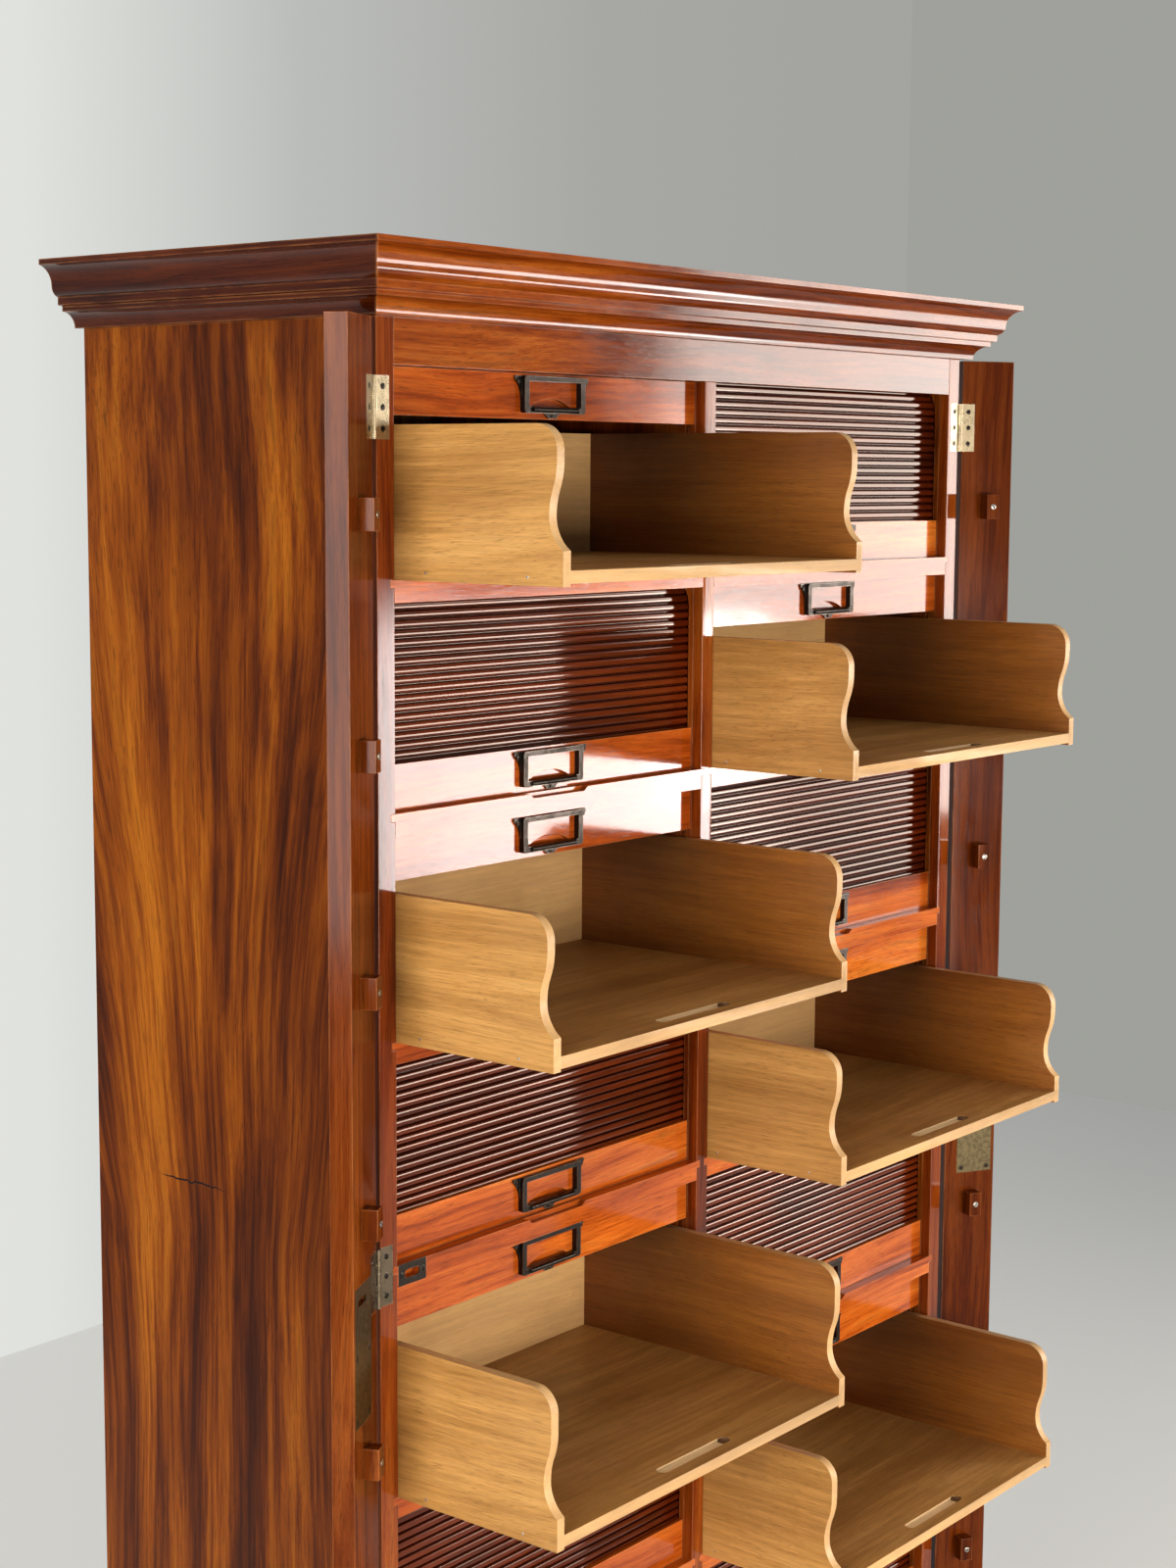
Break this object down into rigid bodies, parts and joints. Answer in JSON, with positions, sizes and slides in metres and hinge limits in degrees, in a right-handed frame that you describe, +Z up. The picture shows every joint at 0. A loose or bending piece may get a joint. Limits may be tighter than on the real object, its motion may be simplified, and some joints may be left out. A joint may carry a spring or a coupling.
{
  "type": "tambour filing cabinet",
  "caption": "Tall two-column filing cabinet with pull-up tambour fronts, draw-out paper trays, hinged locking leaves and a moulded cornice.",
  "frame": {"origin": "on the floor, under the middle of the case, on the underside of the bearer that holds up the bottom board", "axes": "+Z up, +X to the right of someone facing the front, +Y from the front to the back"},
  "size_m": [1.0929, 0.557, 1.84],
  "materials": {
    "front_mahogany": "French polish, orange-red brown, glossy",
    "side_mahogany": "French polish, golden brown with dark streaks",
    "slat_mahogany": "dark maroon polished slats",
    "carcase_wood": "plain unpolished boards, darkened with age",
    "tray_oak": "waxed oak, pale on the worn edges",
    "aged_brass": "aged, dull in the hollows",
    "dark_bronze": "dark patina, rubbed bright at the edges"
  },
  "bodies": {
    "case": {"shelves": "carcase_wood", "top_board": "carcase_wood", "bottom_board": "carcase_wood", "back_panel": "carcase_wood", "side_left": "side_mahogany", "side_right": "side_mahogany", "centre_partition": "front_mahogany", "rails": "front_mahogany", "stiles": "front_mahogany", "frieze": "front_mahogany", "cornice_front": "front_mahogany", "cornice_returns": "side_mahogany", "base_moulding": "front_mahogany", "cornice_top": "carcase_wood", "trays_stored": "tray_oak", "lead_rails_raised": "front_mahogany", "curtains_raised": "slat_mahogany", "pulls_raised": "dark_bronze", "stile_hinges": "aged_brass", "strike_plates": "aged_brass"},
    "left_tray_1": {"tray_left_1": "tray_oak"},
    "left_tambour_2": {"lead_rail_left_2": "front_mahogany", "curtain_left_2": "slat_mahogany", "pull_left_2": "dark_bronze"},
    "left_tray_3": {"tray_left_3": "tray_oak"},
    "left_tambour_4": {"lead_rail_left_4": "front_mahogany", "curtain_left_4": "slat_mahogany", "pull_left_4": "dark_bronze"},
    "left_tray_5": {"tray_left_5": "tray_oak"},
    "left_tambour_6": {"lead_rail_left_6": "front_mahogany", "curtain_left_6": "slat_mahogany", "pull_left_6": "dark_bronze"},
    "left_tray_7": {"tray_left_7": "tray_oak"},
    "left_tambour_8": {"lead_rail_left_8": "front_mahogany", "curtain_left_8": "slat_mahogany", "pull_left_8": "dark_bronze"},
    "right_tambour_1": {"lead_rail_right_1": "front_mahogany", "curtain_right_1": "slat_mahogany", "pull_right_1": "dark_bronze"},
    "right_tray_2": {"tray_right_2": "tray_oak"},
    "right_tambour_3": {"lead_rail_right_3": "front_mahogany", "curtain_right_3": "slat_mahogany", "pull_right_3": "dark_bronze"},
    "right_tray_4": {"tray_right_4": "tray_oak"},
    "right_tambour_5": {"lead_rail_right_5": "front_mahogany", "curtain_right_5": "slat_mahogany", "pull_right_5": "dark_bronze"},
    "right_tray_6": {"tray_right_6": "tray_oak"},
    "right_tambour_7": {"lead_rail_right_7": "front_mahogany", "curtain_right_7": "slat_mahogany", "pull_right_7": "dark_bronze"},
    "right_tray_8": {"tray_right_8": "tray_oak"},
    "left_leaf": {"leaf_left": "front_mahogany", "stop_blocks_left": "front_mahogany", "leaf_hardware_left": "aged_brass", "lock_left": "dark_bronze"},
    "right_leaf": {"leaf_right": "front_mahogany", "stop_blocks_right": "front_mahogany", "leaf_hardware_right": "aged_brass", "lock_right": "dark_bronze"}
  },
  "joints": [
    {"name": "left_tray_1_slide", "type": "slide", "parent": "case", "child": "left_tray_1", "axis": [0, 1, 0], "range_m": [0, 0.213]},
    {"name": "left_tambour_2_slide", "type": "slide", "parent": "case", "child": "left_tambour_2", "axis": [0, 0, 1], "range_m": [0, 0.1395], "deforming": ["curtain_left_2"]},
    {"name": "left_tray_3_slide", "type": "slide", "parent": "case", "child": "left_tray_3", "axis": [0, 1, 0], "range_m": [0, 0.205]},
    {"name": "left_tambour_4_slide", "type": "slide", "parent": "case", "child": "left_tambour_4", "axis": [0, 0, 1], "range_m": [0, 0.1395], "deforming": ["curtain_left_4"]},
    {"name": "left_tray_5_slide", "type": "slide", "parent": "case", "child": "left_tray_5", "axis": [0, 1, 0], "range_m": [0, 0.211]},
    {"name": "left_tambour_6_slide", "type": "slide", "parent": "case", "child": "left_tambour_6", "axis": [0, 0, 1], "range_m": [0, 0.151], "deforming": ["curtain_left_6"]},
    {"name": "left_tray_7_slide", "type": "slide", "parent": "case", "child": "left_tray_7", "axis": [0, 1, 0], "range_m": [0, 0.206]},
    {"name": "left_tambour_8_slide", "type": "slide", "parent": "case", "child": "left_tambour_8", "axis": [0, 0, 1], "range_m": [0, 0.151], "deforming": ["curtain_left_8"]},
    {"name": "right_tambour_1_slide", "type": "slide", "parent": "case", "child": "right_tambour_1", "axis": [0, 0, 1], "range_m": [0, 0.1395], "deforming": ["curtain_right_1"]},
    {"name": "right_tray_2_slide", "type": "slide", "parent": "case", "child": "right_tray_2", "axis": [0, 1, 0], "range_m": [0, 0.195]},
    {"name": "right_tambour_3_slide", "type": "slide", "parent": "case", "child": "right_tambour_3", "axis": [0, 0, 1], "range_m": [0, 0.1395], "deforming": ["curtain_right_3"]},
    {"name": "right_tray_4_slide", "type": "slide", "parent": "case", "child": "right_tray_4", "axis": [0, 1, 0], "range_m": [0, 0.19]},
    {"name": "right_tambour_5_slide", "type": "slide", "parent": "case", "child": "right_tambour_5", "axis": [0, 0, 1], "range_m": [0, 0.151], "deforming": ["curtain_right_5"]},
    {"name": "right_tray_6_slide", "type": "slide", "parent": "case", "child": "right_tray_6", "axis": [0, 1, 0], "range_m": [0, 0.193]},
    {"name": "right_tambour_7_slide", "type": "slide", "parent": "case", "child": "right_tambour_7", "axis": [0, 0, 1], "range_m": [0, 0.151], "deforming": ["curtain_right_7"]},
    {"name": "right_tray_8_slide", "type": "slide", "parent": "case", "child": "right_tray_8", "axis": [0, 1, 0], "range_m": [0, 0.193]},
    {"name": "left_leaf_hinge", "type": "hinge", "parent": "case", "child": "left_leaf", "pos_m": [-0.4764, -0.18625, 0.935], "axis": [0, 0, 1], "range_deg": [-36.5, 73.5]},
    {"name": "right_leaf_hinge", "type": "hinge", "parent": "case", "child": "right_leaf", "pos_m": [0.4764, -0.18625, 0.935], "axis": [0, 0, 1], "range_deg": [-70, 40]}
  ]
}
